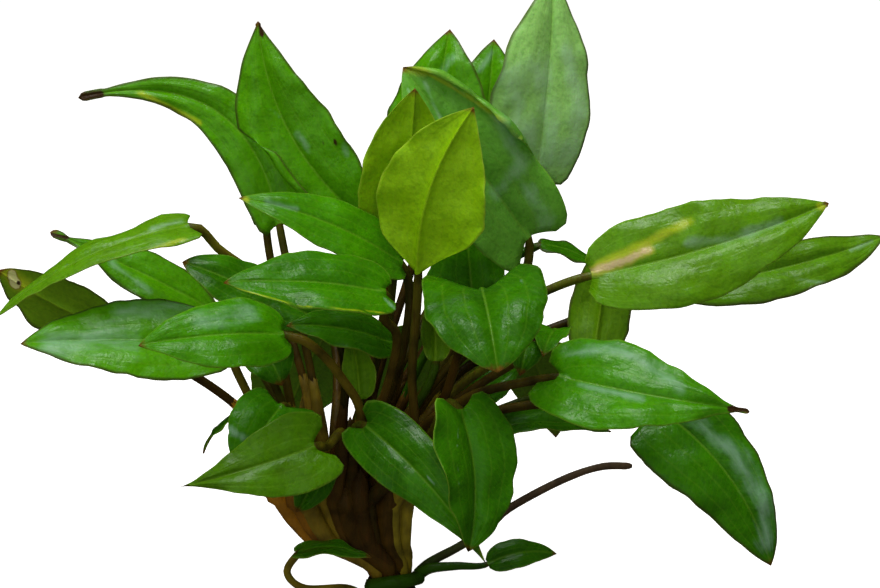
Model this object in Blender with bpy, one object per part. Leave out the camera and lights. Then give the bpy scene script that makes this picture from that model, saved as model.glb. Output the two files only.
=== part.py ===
"""A clump of cryptocoryne, a rosette water plant, as picked: rootstock, trimmed roots and leaves.

The clump stands on the flat underside of its rootstock at the origin, +Z up, and -Y is its front.
Lengths are in millimetres until an object is made, and metres in the scene.
"""

import math
from dataclasses import dataclass

import bmesh
import bpy
import numpy as np
from mathutils import Vector
from mathutils.kdtree import KDTree

MM = 0.001
GAP = 0.3

# The clump's places are noted as they are seen from the front: how far right of and above the
# centre of the view, and how far behind the crown's axis. The view looks down by VIEW_TILT.
VIEW_TILT = math.radians(12)
VIEW_DISTANCE = 700
VIEW_CENTRE = np.array((13.0, 0.0, 85.0))

# The crown: height, centre in X and half-widths in X and Y of each level.
CROWN_LEVELS = (
    (0.0, 0.4, 6.7, 8.2),
    (4.0, 0.5, 7.0, 8.6),
    (8.0, 0.5, 6.1, 8.4),
    (12.0, 0.2, 5.2, 8.2),
    (16.0, -0.9, 5.9, 8.6),
    (19.0, -4.2, 8.8, 9.6),
    (22.5, -8.5, 13.4, 11.4),
    (28.0, -10.8, 16.1, 13.0),
    (34.0, -12.4, 18.6, 13.8),
)
CROWN_SIDES = 20
CROWN_RIB = 0.05
CROWN_RIBS = 7

# A stalk is thicker at its foot, and round; a blade is thin, with a rib under its middle.
FOOT_SPREAD = 1.3
STALK_SIDES_DEG = (150, 90, 30, -30, -90, -150)
STALK_POINTS = 36
STALK_RINGS = 6
STALK_CLEARANCE = 0.55
BLADE_CLEARANCE = 1.0
CROWD_STEPS = 90
LOBE_AT = 0.06
MARGIN_HALF_THICKNESS = 0.22
BLADE_HALF_THICKNESS = 0.3

# The places that the leafless stalk passes, as seen.
BARE_STALK = (
    (-2.5, -67, 0),
    (5, -63, 0),
    (12.5, -58, 0),
    (17, -53.75, 0),
    (30, -46.75, 2),
    (40, -43.25, 3),
    (48, -43, 4),
)
BARE_STALK_FOOT = np.array((7.2, 0.5, 12.0))
BARE_STALK_RINGS = 10

ROOT_COUNT = 8
ROOT_RADIUS = 0.95
ROOT_REACH = 24
GOLDEN_ANGLE = math.radians(137.5)


@dataclass
class Leaf:
    """One leaf, a blade on its stalk. Lengths are in millimetres.

    base and tip are the ends of the midrib, as places seen: right, up and behind. face is where the upper
    side looks: right, up and near. arch bows the midrib towards the upper side and sway sideways. fold raises
    the margins, camber lowers them and wave ripples them. lobe is how far the two lobes reach back past the
    stalk. widest is the share of the length where the blade is widest, taper how fast it narrows to the tip,
    and uneven how much wider one half is. The stalk has the radius stalk, passes the places in path on its
    way from foot, and runs straight on into the blade where bend is 0. fine is for blades with more rows.
    """

    name: str
    base: tuple
    tip: tuple
    width: float
    face: tuple
    arch: float = 2.0
    sway: float = 0.0
    fold: float = 0.16
    camber: float = 0.1
    lobe: float = 3.0
    wave: float = 0.4
    widest: float = 0.34
    taper: float = 0.85
    bend: float = 0.4
    uneven: float = 0.0
    stalk: float = 1.15
    foot: tuple = None
    path: tuple = ()
    fine: bool = True


LEAVES = (
    # The tall leaves in the middle.
    Leaf("leaf_front_tall", (-5.5, 4.75, -20), (8.5, 46.75, -26), 28, (0.35, 0, -1), arch=-3, lobe=-3,
         bend=0.1, widest=0.4, taper=0.9, sway=3, uneven=-0.08, path=((-7.25, -38, -14), (-7, -19, -17))),
    Leaf("leaf_front_tall_left", (-11, 9, -5), (-6.25, 51.5, -15), 22.5, (-0.3, 0, -1), arch=-2, lobe=0,
         bend=0.2, widest=0.46, uneven=0.08),
    Leaf("leaf_back_tall", (24.25, 30.5, 24), (28.25, 79, 32), 26.5, (0.25, 0, 1), lobe=5, arch=3,
         wave=0.8, uneven=-0.12),
    Leaf("leaf_back_left", (-3, 24, 24), (2.5, 66.25, 34), 28.5, (-0.3, 0.1, 1), lobe=2,
         uneven=0.08),
    Leaf("leaf_back_middle", (10, 24, 34), (13.5, 63.75, 44), 25, (0, 0.2, 1), lobe=2),
    Leaf("leaf_curled", (22.25, 13.75, 6), (-9.25, 56.75, 5), 27.5, (0.1, 0.45, 0.9), arch=4, lobe=5, fold=0.3,
         wave=0.9, taper=0.6, sway=-1),
    # The left side, from the top down.
    Leaf("leaf_left_tall", (-17, 17, 10), (-45.5, 68.25, 18), 24.5, (-0.1, 0.2, 1), arch=2, sway=-6.5, lobe=1,
         widest=0.42, taper=1.0, uneven=-0.06),
    Leaf("leaf_left_long", (-40, 16.5, 20), (-90.5, 49, 26), 16, (-0.2, 0.5, 0.9), arch=0, sway=16.5,
         lobe=4, widest=0.24, taper=1.15),
    Leaf("leaf_left_hidden", (-43.5, 17.5, 30), (-42, 42, 38), 10, (0, 0.2, 1), lobe=2, fine=False),
    Leaf("leaf_left_upper", (-9.5, 7.5, -14), (-50.5, 24, -22), 16, (-0.1, 0.75, 0.65), arch=4,
         path=((-9, -12, -13),)),
    Leaf("leaf_left_middle", (-13.5, 0.25, -33), (-54.25, 2.75, -44), 20, (0, 0.8, 0.6), arch=2, lobe=3.5,
         path=((-11, -14.5, -23), (-14, -6, -29))),
    Leaf("leaf_left_arching", (-62.25, 17, -2), (-112, -6.5, -14), 14.5, (0.1, 1, 0.25), arch=4.4, fold=0.1,
         bend=0.1, widest=0.16, path=((-43, 1.25, 4), (-48, 6, 2), (-55, 11, 0))),
    Leaf("leaf_left_narrow", (-57, -4, 14), (-97.5, 15.5, 12), 15, (0.1, 0.7, 0.6), arch=1, taper=1.7,
         widest=0.36),
    Leaf("leaf_far_left", (-84, -8, 4), (-110.5, 6, 2), 19, (0.2, 0.4, -1), arch=0, lobe=2, sway=1,
         taper=0.6, uneven=0.12),
    Leaf("leaf_left_big", (-54.5, -13, -6), (-105, -12.5, -18), 24.5, (0, 0.75, 0.65), arch=2, lobe=2.5,
         bend=0.2, taper=0.75, path=((-50, -21, -6),)),
    Leaf("leaf_left_front", (-39, -10.25, -30), (-75.5, -13, -42), 20, (0, 0.7, 0.7), arch=2, lobe=2,
         bend=0.3, path=((-20, -32, -20), (-25, -20.5, -26), (-32.5, -12.5, -30))),
    Leaf("leaf_left_back", (-27.5, -8, -6), (-64.5, 8, -8), 17, (0.1, 0.75, 0.6), arch=1, widest=0.5,
         taper=0.5),
    Leaf("leaf_left_under", (-11.5, -12.75, -6), (-38.5, -8, -16), 16, (0, 0.85, 0.5), arch=2, lobe=1),
    Leaf("leaf_left_small", (-44.5, -13.5, -8), (-39.5, -23, -14), 13, (0.1, 0.6, 0.8), lobe=2, fine=False),
    Leaf("leaf_left_sliver", (-49, -29, -8), (-59.25, -40, -12), 7, (-0.75, 0.66, 0.1), lobe=1,
         fine=False),
    Leaf("leaf_low_left_round", (-39.5, -28, -18), (-50.5, -45, -34), 19.5, (-0.1, 0.5, 0.85), lobe=3.5,
         arch=2, widest=0.28, taper=0.7),
    Leaf("leaf_low_left_front", (-31.25, -38, -38), (-65.25, -48.25, -44), 19.5, (0.2, 0.5, 0.9), lobe=6,
         arch=2, widest=0.22, taper=1.6, sway=-1, uneven=-0.04, path=((-24, -35, -24), (-28, -38, -31))),
    Leaf("leaf_low_left_under", (-30, -41, -20), (-36, -54.5, -26), 11, (0.3, 0.1, 1), lobe=1,
         fine=False),
    # The front.
    Leaf("leaf_front_low", (-18.5, -33, -34), (12, -68.25, -52), 16.5, (-0.3, 0.5, 0.8), lobe=6, arch=4,
         fold=0.2, widest=0.25, taper=1.5, sway=-2.4),
    Leaf("leaf_front_folded", (4.75, -28.75, -46), (7, -64.5, -58), 24, (0.75, 0.2, 1), lobe=4.5,
         fold=0.5, uneven=0.15, sway=-1.5, taper=0.7, path=((-3, -36, -26),)),
    Leaf("leaf_heart", (10.5, 1, -34), (14.5, -19.75, -54), 29.5, (0, 0.6, 0.8), lobe=11, arch=3,
         bend=0.9, widest=0.3, taper=0.6, path=((0, -28, -10),)),
    # The right side.
    Leaf("leaf_right_big", (37.25, 4.5, -8), (97.25, 22.75, -4), 26.5, (-0.1, 0.5, 0.85), lobe=2, arch=1,
         sway=2.4, bend=0.1, widest=0.36, taper=0.8, uneven=0.02),
    Leaf("leaf_right_back", (58, 1.75, 14), (111.25, 14.5, 24), 15.5, (0.1, 0.6, 0.75), arch=2, sway=3,
         uneven=0.1, widest=0.46, taper=0.7),
    Leaf("leaf_right_edge", (25, 12.25, 16), (41, 5, 20), 9, (0.2, 0.9, 0.3), lobe=1, fine=False),
    Leaf("leaf_right_upright", (38.5, -14.5, 0), (43, 15.5, 8), 16, (0.1, 0.2, -1), lobe=2),
    Leaf("leaf_right_front", (29.5, -20.75, -34), (77.5, -29.5, -46), 25.75, (0.1, 0.7, 0.7), lobe=7,
         arch=3, sway=2.5, widest=0.28, taper=1.5, uneven=-0.02,
         path=((-5, -34, -20), (6, -26.5, -28), (13, -23.75, -31))),
    Leaf("leaf_right_hanging", (53.5, -28, -22), (82.75, -68, -34), 24.8, (0.35, 0.3, 1), arch=4,
         bend=0.5, lobe=0.5, sway=-3.3, uneven=0.13, widest=0.2, taper=0.6),
    Leaf("leaf_small_cupped", (29, -9.5, -12), (25.75, -15.75, -30), 9, (0, 0.9, 0.4), fold=0.4, lobe=1,
         fine=False),
    Leaf("leaf_right_low", (13, -33.75, 4), (43, -34.5, 14), 13, (0, 0.95, 0.3), fold=0.3, fine=False),
    # Low growth by the crown.
    Leaf("leaf_low_right", (11.75, -67.6, -4), (29.25, -65, 0), 8, (0, 0.6, 0.8), lobe=0, stalk=0.75,
         sway=-1, fine=False, foot=(7, -3, 12.3), path=((-2.5, -68.6, -5), (4, -68, -5))),
    Leaf("leaf_low_left", (-35, -64.5, -18.5), (-17, -66, -19), 7.5, (0, 0.95, 0.2), lobe=3, stalk=0.95,
         fine=False, foot=(-6.3, -4.4, 7.5),
         path=((-24, -73.5, -9), (-34, -73.5, -14), (-38.25, -69.5, -17))),
    # Young leaves inside the clump.
    Leaf("leaf_inner_back", (8.25, -2, 8), (6.5, 16.5, 14), 20, (0, 0.3, 1), lobe=3, uneven=-0.1),
    Leaf("leaf_inner_left", (-20, -26.5, -10), (-22.5, -10.5, -12), 9, (0.3, 0, -1), lobe=0, fine=False),
    Leaf("leaf_inner_right", (-1, -17, -4), (-2.5, -1.5, -6), 8, (0.3, 0, -1), lobe=0, fine=False),
    Leaf("leaf_inner_low", (8, -26, 4), (20, -18, 8), 11, (0, 0.6, 0.8), lobe=2, fine=False),
    Leaf("leaf_inner_tip", (22, -12, -20), (20, -20.5, -28), 9, (0, 0.5, 0.9), lobe=1, fine=False),
    # The far side.
    Leaf("leaf_far_middle", (2, 8, 48), (6, 22, 88), 24, (0, 1, 0.3), arch=4),
    Leaf("leaf_far_right", (44, 0, 34), (60, 8, 76), 22, (0.1, 1, 0.2), arch=4, fine=False),
    Leaf("leaf_far_left_low", (-28, -9, 38), (-41, -40, 60), 30, (-0.2, 0.7, -1), arch=4, fine=False),
    Leaf("leaf_far_right_low", (21.5, -13, 30), (29, -36, 54), 24, (0.2, 0.7, -1), arch=4, fine=False),
    Leaf("leaf_far_low", (-1, -10, 34), (-13, -42, 54), 30, (0, 0.7, -1), arch=4, fine=False),
)


def seen(right, up, behind):
    """The point seen that far right of and above the view's centre, and behind the crown's axis."""
    forward = np.array((0.0, math.cos(VIEW_TILT), -math.sin(VIEW_TILT)))
    upward = np.array((0.0, math.sin(VIEW_TILT), math.cos(VIEW_TILT)))
    eye = VIEW_CENTRE - VIEW_DISTANCE * forward
    ray = VIEW_DISTANCE * forward + up * upward
    ray[0] += right
    return eye + ray * (behind - eye[1]) / ray[1]


def unit(v):
    """The vectors v at length 1."""
    return v / np.linalg.norm(v, axis=-1, keepdims=True)


def bezier(points, s):
    """Points and directions of the cubic curve with these four controls, at the shares s."""
    p0, p1, p2, p3 = points
    s = np.asarray(s, float)[:, None]
    place = (1 - s) ** 3 * p0 + 3 * (1 - s) ** 2 * s * p1 + 3 * (1 - s) * s**2 * p2 + s**3 * p3
    slope = 3 * (1 - s) ** 2 * (p1 - p0) + 6 * (1 - s) * s * (p2 - p1) + 3 * s**2 * (p3 - p2)
    return place, unit(slope)


def through(stops, arrive):
    """Evenly spaced points of a smooth curve through these stops that ends in the direction arrive."""
    stops = np.array(stops)
    pull = np.zeros_like(stops)
    pull[1:-1] = (stops[2:] - stops[:-2]) / 2
    pull[0] = stops[1] - stops[0]
    pull[-1] = arrive * np.linalg.norm(stops[-1] - stops[-2])
    s = np.linspace(0, 1, 12, endpoint=False)
    spans = [
        bezier((stops[i], stops[i] + pull[i] / 3, stops[i + 1] - pull[i + 1] / 3, stops[i + 1]), s)[0]
        for i in range(len(stops) - 1)
    ]
    dense = np.concatenate(spans + [stops[-1:]])
    run = np.concatenate(([0], np.cumsum(np.linalg.norm(np.diff(dense, axis=0), axis=1))))
    even = np.linspace(0, run[-1], STALK_POINTS)
    return np.column_stack([np.interp(even, run, dense[:, k]) for k in range(3)])


def midrib(leaf, s):
    """Points, forward, upper-side and sideways directions along a blade's midrib."""
    base, tip = seen(*leaf.base), seen(*leaf.tip)
    right, up, near = leaf.face
    face = np.array((right, -near, up), float)
    chord = tip - base
    along = unit(chord)
    upper = unit(face - face.dot(along) * along)
    side = np.cross(along, upper)
    bow = 4 / 3 * (leaf.arch * upper + leaf.sway * side)
    place, forward = bezier((base, base + chord / 3 + bow, base + chord * 2 / 3 + bow, tip), s)
    upper = unit(upper - (forward @ upper)[:, None] * forward)
    return place, forward, upper, np.cross(forward, upper)


def half_width(leaf, s):
    """The blade's half-width at the shares s of its length: 0 at the ends, widest at leaf.widest."""
    rise = leaf.taper * leaf.widest / (1 - leaf.widest)
    peak = leaf.widest**rise * (1 - leaf.widest) ** leaf.taper
    half = leaf.width / 2 * s**rise * (1 - s) ** leaf.taper / peak
    return np.where(s < 0.2, np.maximum(half, 1.35 * leaf.stalk), half)


def blade_surface(leaf, s, t):
    """Middle surface of a blade and its upper-side direction, at shares s along and t across, -1 to 1."""
    place, forward, upper, side = midrib(leaf, s)
    half = half_width(leaf, s)
    swing = np.sqrt(s / LOBE_AT) * np.exp((1 - s / LOBE_AT) / 2)
    back = leaf.lobe * swing[:, None] * np.abs(t) ** 1.6
    out = half[:, None] * t * (1 + leaf.uneven * np.sign(t))
    share = np.abs(out) / (leaf.width / 2)
    ripple = np.sin(2 * math.pi * (2.6 * s[:, None] + 0.2 * np.sign(t)) + len(leaf.name))
    lift = leaf.width / 2 * (leaf.fold * share - leaf.camber * share**2)
    lift += leaf.wave * ripple * np.abs(t) ** 3 * share
    surface = (
        place[:, None]
        - forward[:, None] * back[..., None]
        + side[:, None] * out[..., None]
        + upper[:, None] * lift[..., None]
    )
    return surface, upper


def stalk_curve(leaf, foot):
    """Points of a stalk's middle line from its foot to the blade, before crowding moves it."""
    place, forward, _, _ = midrib(leaf, (0.0,))
    base, ahead = place[0], forward[0]
    reach = np.linalg.norm(base - foot)
    arrive = unit((1 - leaf.bend) * ahead + leaf.bend * unit(base - foot))
    if leaf.path:
        return through((foot, *(seen(*place) for place in leaf.path), base), arrive)
    rise = np.array((0.0, 0.0, 0.35 * reach))
    controls = (foot, foot + rise, base - arrive * reach * 0.3, base)
    return bezier(controls, np.linspace(0, 1, STALK_POINTS))[0]


def stalk_feet(leaves):
    """Where each stalk stands on the crown: the more a leaf leans out, the nearer its foot is to the rim."""
    height, centre, half_x, half_y = CROWN_LEVELS[-1]
    middle = np.array((centre, 0.0, height + GAP))
    bases = np.array([seen(*leaf.base) for leaf in leaves])
    lean = np.hypot(*(bases - middle)[:, :2].T) / (bases[:, 2] - height)
    order = np.argsort(np.argsort(lean))
    ring = np.sqrt((order + 0.5) / len(leaves))
    heading = np.arctan2(bases[:, 1], bases[:, 0] - centre)
    feet = np.tile(middle, (len(leaves), 1))
    rim = 1.8
    feet[:, 0] += (half_x - rim) * ring * np.cos(heading)
    feet[:, 1] += (half_y - rim) * ring * np.sin(heading)
    for i, leaf in enumerate(leaves):
        if leaf.foot is not None:
            feet[i] = leaf.foot
    return feet


def stalk_radii(leaf):
    """Radius of a stalk along its middle line: a thick foot that thins within the first third."""
    s = np.linspace(0, 1, STALK_POINTS)
    return leaf.stalk * (1 + (FOOT_SPREAD - 1) * np.clip(1 - s * 3, 0, 1))


def blade_points(leaf):
    """Points spread over a blade, for stalks to keep clear of."""
    s = np.linspace(0.04, 0.95, 12)
    t = np.tile(np.linspace(-1, 1, 7), (len(s), 1))
    return blade_surface(leaf, s, t)[0].reshape(-1, 3)


def crowd(leaves, lines, radii):
    """The stalks' middle lines, moved clear of each other and of the blades in small, smooth steps."""
    count, points = radii.shape
    blades = [blade_points(leaf) for leaf in leaves]
    per_blade = len(blades[0])
    owner = np.concatenate((np.repeat(np.arange(count), points), np.repeat(np.arange(count), per_blade)))
    reach = np.concatenate((radii.reshape(-1), np.full(count * per_blade, BLADE_CLEARANCE)))
    fixed = np.concatenate(blades)
    free = np.ones((count, points, 1))
    free[:, -3:] = 0
    free[[i for i, leaf in enumerate(leaves) if leaf.foot is not None], 0] = 0
    shift = np.zeros_like(lines)
    widest = 2 * radii.max() + STALK_CLEARANCE
    for _ in range(CROWD_STEPS):
        place = np.concatenate(((lines + shift).reshape(-1, 3), fixed))
        tree = KDTree(len(place))
        for i, point in enumerate(place):
            tree.insert(point, i)
        tree.balance()
        step = np.zeros((count * points, 3))
        for i in range(count * points):
            for _, j, distance in tree.find_range(place[i], widest):
                need = reach[i] + reach[j] + STALK_CLEARANCE
                if owner[i] != owner[j] and distance < need:
                    step[i] += (place[i] - place[j]) * (need / (distance + 1e-6) - 1) * 0.35
        shift += np.clip(step.reshape(lines.shape), -0.6, 0.6) * free
        eased = shift[:, :-2] + shift[:, 2:] - 2 * shift[:, 1:-1]
        shift[:, 1:-1] += 0.2 * eased * free[:, 1:-1]
        shift[:, 0, 2] = 0
    return lines + shift


def ring_frames(line, upper_end):
    """Forward, upper and side directions at each point of a line, carried back from its blade end."""
    forward = unit(np.gradient(line, axis=0))
    upper = np.zeros_like(line)
    upper[-1] = unit(upper_end - upper_end.dot(forward[-1]) * forward[-1])
    for i in range(len(line) - 2, -1, -1):
        carried = upper[i + 1] - upper[i + 1].dot(forward[i]) * forward[i]
        upper[i] = unit(carried)
    return forward, upper, np.cross(forward, upper)


def tube_rings(line, radii, upper_end, angles_deg):
    """A ring of points round each point of a line, at these angles from its side to its upper direction."""
    _, upper, side = ring_frames(line, upper_end)
    angles = np.radians(angles_deg)
    return (
        line[:, None]
        + side[:, None] * (np.cos(angles) * radii[:, None])[..., None]
        + upper[:, None] * (np.sin(angles) * radii[:, None])[..., None]
    )


def join_rings(mesh, first, second):
    """Faces between two closed rings of vertices with as many vertices each."""
    count = len(first)
    for i in range(count):
        j = (i + 1) % count
        mesh.faces.new((first[i], first[j], second[j], second[i]))


def add_points(mesh, points):
    """A vertex at each point, given in millimetres."""
    return [mesh.verts.new(Vector(p) * MM) for p in points]


def leaf_mesh(leaf, line, radii):
    """One closed solid of a stalk and its blade. The blade's middle strip runs on from the stalk."""
    mesh = bmesh.new()
    shares = (0.012, 0.06, 0.17, 0.34, 0.55, 0.78) if leaf.fine else (0.015, 0.09, 0.3, 0.62)
    s = np.array(shares)
    half = half_width(leaf, s)
    strip = np.interp(s, (0, 1), (leaf.stalk * 0.85, 0.3)) / half
    between = (0.5,) if leaf.fine else ()
    t = np.array([(0, m, *(m + (1 - m) * x for x in between), 1) for m in strip])
    t = np.hstack((-t[:, :0:-1], t))
    surface, upper = blade_surface(leaf, s, t)
    columns = t.shape[1]
    middle = columns // 2
    rib = np.interp(s, (0, 0.06, 1), (leaf.stalk, leaf.stalk * 0.8, 0.35))
    over = np.full(t.shape, BLADE_HALF_THICKNESS)
    over[:, (0, -1)] = MARGIN_HALF_THICKNESS
    under = over.copy()
    over[:, middle] = np.interp(s, (0, 0.1), (leaf.stalk * 0.9, BLADE_HALF_THICKNESS))
    under[:, middle] = rib
    top = [add_points(mesh, row) for row in surface + upper[:, None] * over[..., None]]
    bottom = [add_points(mesh, row) for row in surface - upper[:, None] * under[..., None]]
    point = add_points(mesh, midrib(leaf, (1.0,))[0])[0]
    for row in range(len(s) - 1):
        for k in range(columns - 1):
            mesh.faces.new((top[row][k], top[row][k + 1], top[row + 1][k + 1], top[row + 1][k]))
            mesh.faces.new((bottom[row][k + 1], bottom[row][k], bottom[row + 1][k], bottom[row + 1][k + 1]))
        for k in (0, -1):
            mesh.faces.new((top[row][k], top[row + 1][k], bottom[row + 1][k], bottom[row][k]))
    for k in range(columns - 1):
        mesh.faces.new((top[-1][k], top[-1][k + 1], point))
        mesh.faces.new((bottom[-1][k + 1], bottom[-1][k], point))
        if k not in (middle - 1, middle):
            mesh.faces.new((top[0][k], bottom[0][k], bottom[0][k + 1], top[0][k + 1]))
    for k in (0, -1):
        mesh.faces.new((top[-1][k], point, bottom[-1][k]))
    mouth = top[0][middle - 1 : middle + 2] + bottom[0][middle - 1 : middle + 2][::-1]
    rings = STALK_RINGS + (len(leaf.path) > 1) * len(leaf.path)
    picks = np.linspace(0, STALK_POINTS - 1, rings).round().astype(int)[:-1]
    rings = tube_rings(line, radii, midrib(leaf, (0.0,))[2][0], STALK_SIDES_DEG)[picks]
    if leaf.foot is None:
        rings[0][:, 2] = line[0, 2]
    loops = [add_points(mesh, ring) for ring in rings]
    for first, second in zip(loops, loops[1:] + [mouth]):
        join_rings(mesh, first, second)
    mesh.faces.new(loops[0])
    return mesh


def add_object(name, mesh, material):
    """The mesh as a smooth-shaded object with this material."""
    bmesh.ops.recalc_face_normals(mesh, faces=mesh.faces)
    data = bpy.data.meshes.new(name)
    mesh.to_mesh(data)
    mesh.free()
    data.shade_smooth()
    data.set_sharp_from_angle(angle=math.radians(50))
    data.materials.append(material)
    thing = bpy.data.objects.new(name, data)
    bpy.context.scene.collection.objects.link(thing)
    return thing


def make_material(name, colour, roughness):
    """A plain finish for one kind of piece."""
    material = bpy.data.materials.new(name)
    material.use_nodes = True
    shader = material.node_tree.nodes["Principled BSDF"]
    shader.inputs["Base Color"].default_value = (*colour, 1)
    shader.inputs["Roughness"].default_value = roughness
    shader.inputs["Metallic"].default_value = 0
    return material


def make_crown(material):
    """The rootstock: a narrow neck that spreads into a ribbed seat for the stalks."""
    mesh = bmesh.new()
    angles = np.linspace(0, 2 * math.pi, CROWN_SIDES, endpoint=False)
    rib = 1 + CROWN_RIB * np.cos(CROWN_RIBS * angles)
    rings = []
    for height, centre, half_x, half_y in CROWN_LEVELS:
        x = centre + half_x * rib * np.cos(angles)
        y = half_y * rib * np.sin(angles)
        rings.append(add_points(mesh, np.column_stack((x, y, np.full(CROWN_SIDES, height)))))
    for lower, higher in zip(rings, rings[1:]):
        join_rings(mesh, lower, higher)
    mesh.faces.new(rings[0])
    mesh.faces.new(rings[-1])
    add_object("rootstock", mesh, material)


def make_bare_stalk(material):
    """The stalk low on the right whose blade has broken off: it ends in a blunt stub."""
    stops = [seen(*place) for place in BARE_STALK]
    line = through((BARE_STALK_FOOT, *stops), unit(stops[-1] - stops[-2]))
    radii = np.linspace(1.2, 0.9, STALK_POINTS)
    rings = tube_rings(line, radii, np.array((0.0, 0.0, 1.0)), STALK_SIDES_DEG)
    picks = np.linspace(0, STALK_POINTS - 1, BARE_STALK_RINGS).round().astype(int)
    mesh = bmesh.new()
    loops = [add_points(mesh, ring) for ring in rings[picks]]
    for first, second in zip(loops, loops[1:]):
        join_rings(mesh, first, second)
    mesh.faces.new(loops[0])
    mesh.faces.new(loops[-1])
    add_object("bare_stalk", mesh, material)


def make_root(number, material):
    """A trimmed root that leaves the crown's foot, dips and lies along the ground."""
    heading = number * GOLDEN_ANGLE
    flat = math.cos(math.radians(36))
    reach = ROOT_REACH * (0.85 + 0.15 * math.cos(3.1 * number))
    half_x, half_y = CROWN_LEVELS[1][2:]
    start = (1 + CROWN_RIB) / math.hypot(math.cos(heading) / half_x, math.sin(heading) / half_y) + GAP
    distance = np.array((start, start + 3.2, start + 7, (start + reach) / 2 + 5, reach))
    height = np.array((3.6, 2.6, ROOT_RADIUS * flat, ROOT_RADIUS * flat, ROOT_RADIUS * flat * 0.8))
    radii = np.array((1.0, 1.0, 1.0, 1.0, 0.8)) * ROOT_RADIUS
    drift = np.array((0, 0, 0.06, 0.16, 0.22)) * (-1) ** number
    crown_x = CROWN_LEVELS[1][1]
    line = np.column_stack(
        (crown_x + distance * np.cos(heading + drift), distance * np.sin(heading + drift), height)
    )
    rings = tube_rings(line, radii, np.array((0.0, 0.0, 1.0)), (18, 90, 162, 234, 306))
    rings[..., 2] = np.maximum(rings[..., 2], 0)
    mesh = bmesh.new()
    loops = [add_points(mesh, ring) for ring in rings]
    for first, second in zip(loops, loops[1:]):
        join_rings(mesh, first, second)
    mesh.faces.new(loops[0])
    mesh.faces.new(loops[-1])
    add_object(f"root_{number + 1}", mesh, material)


def main():
    for thing in list(bpy.data.objects):
        bpy.data.objects.remove(thing)
    leaf_green = make_material("leaf", (0.13, 0.3, 0.04), 0.35)
    crown_brown = make_material("rootstock", (0.2, 0.11, 0.05), 0.7)
    root_tan = make_material("root", (0.42, 0.33, 0.2), 0.75)
    feet = stalk_feet(LEAVES)
    lines = np.array([stalk_curve(leaf, foot) for leaf, foot in zip(LEAVES, feet)])
    radii = np.array([stalk_radii(leaf) for leaf in LEAVES])
    lines = crowd(LEAVES, lines, radii)
    for leaf, line, radius in zip(LEAVES, lines, radii):
        add_object(leaf.name, leaf_mesh(leaf, line, radius), leaf_green)
    make_crown(crown_brown)
    make_bare_stalk(leaf_green)
    for number in range(ROOT_COUNT):
        make_root(number, root_tan)


main()
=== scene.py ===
"""A clump of cryptocoryne, as picked: the looks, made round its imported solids.

Places and sizes are in millimetres until a mesh is made, and metres in the scene. +Z is up and -Y the front.
"""

import math
from dataclasses import dataclass
from functools import partial

import bmesh
import bpy
import numpy as np
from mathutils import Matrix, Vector, noise
from mathutils.kdtree import KDTree


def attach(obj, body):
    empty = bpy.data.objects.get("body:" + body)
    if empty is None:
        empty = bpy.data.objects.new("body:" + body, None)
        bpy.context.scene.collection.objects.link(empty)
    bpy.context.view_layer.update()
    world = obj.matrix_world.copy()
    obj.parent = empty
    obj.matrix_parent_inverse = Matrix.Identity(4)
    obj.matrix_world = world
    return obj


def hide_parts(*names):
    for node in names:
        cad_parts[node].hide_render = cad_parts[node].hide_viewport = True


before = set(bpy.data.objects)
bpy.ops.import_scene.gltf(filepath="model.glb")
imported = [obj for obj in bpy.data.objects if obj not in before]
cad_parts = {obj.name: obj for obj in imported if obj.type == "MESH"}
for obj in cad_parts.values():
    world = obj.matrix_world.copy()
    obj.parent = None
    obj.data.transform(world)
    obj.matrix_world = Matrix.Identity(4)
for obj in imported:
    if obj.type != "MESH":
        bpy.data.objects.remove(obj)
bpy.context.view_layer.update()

# The camera
# It stands in front of the plant and looks down at it by 12 degrees, as the photograph does.

MM = 0.001
VIEW_TILT = math.radians(12)
VIEW_DISTANCE = 700
VIEW_CENTRE = np.array((13.0, 0.0, 85.0))
VIEW_WIDTH = 220

scene = bpy.context.scene


def add_object(name, data, place=(0, 0, 0)):
    """A new object of the scene with this camera, lamp or mesh, at a place in metres."""
    made = bpy.data.objects.new(name, data)
    made.location = place
    scene.collection.objects.link(made)
    return made


sight = np.array((0.0, math.cos(VIEW_TILT), -math.sin(VIEW_TILT)))
upward = np.array((0.0, math.sin(VIEW_TILT), math.cos(VIEW_TILT)))
eye = VIEW_CENTRE - VIEW_DISTANCE * sight
camera_data = bpy.data.cameras.new("camera")
camera_data.sensor_width = 36
camera_data.lens = 36 * VIEW_DISTANCE / VIEW_WIDTH
camera_data.clip_end = 20
scene.camera = add_object("camera", camera_data, eye * MM)
scene.camera.rotation_euler = (math.pi / 2 - VIEW_TILT, 0, 0)

# The floor, the backdrop and the light
# A matt white studio table runs out to a pale dome. A wide softbox lights the plant from above and a fainter
# one from the front. A small one gives the wet glints. The table and the dome throw no light back at it.

FLOOR_RADIUS = 5.0
LIT_PLACE = Vector((0, 0, 0.08))


def srgb(code):
    """The linear colour of a hex code such as 3c8a00."""
    parts = [int(code[i : i + 2], 16) / 255 for i in (0, 2, 4)]
    return (*(p / 12.92 if p <= 0.04045 else ((p + 0.055) / 1.055) ** 2.4 for p in parts), 1)


def plug(node, inputs):
    """Sets inputs of a node to these values, or links them where a value is another node's output."""
    for key, value in inputs.items():
        if isinstance(value, bpy.types.NodeSocket):
            node.id_data.links.new(value, node.inputs[key])
        else:
            node.inputs[key].default_value = value


def add_node(tree, kind, inputs=None, **settings):
    """The outputs of a new node of this kind with these inputs and settings."""
    made = tree.nodes.new("ShaderNode" + kind)
    for key, value in settings.items():
        setattr(made, key, value)
    plug(made, inputs or {})
    return made.outputs


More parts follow.
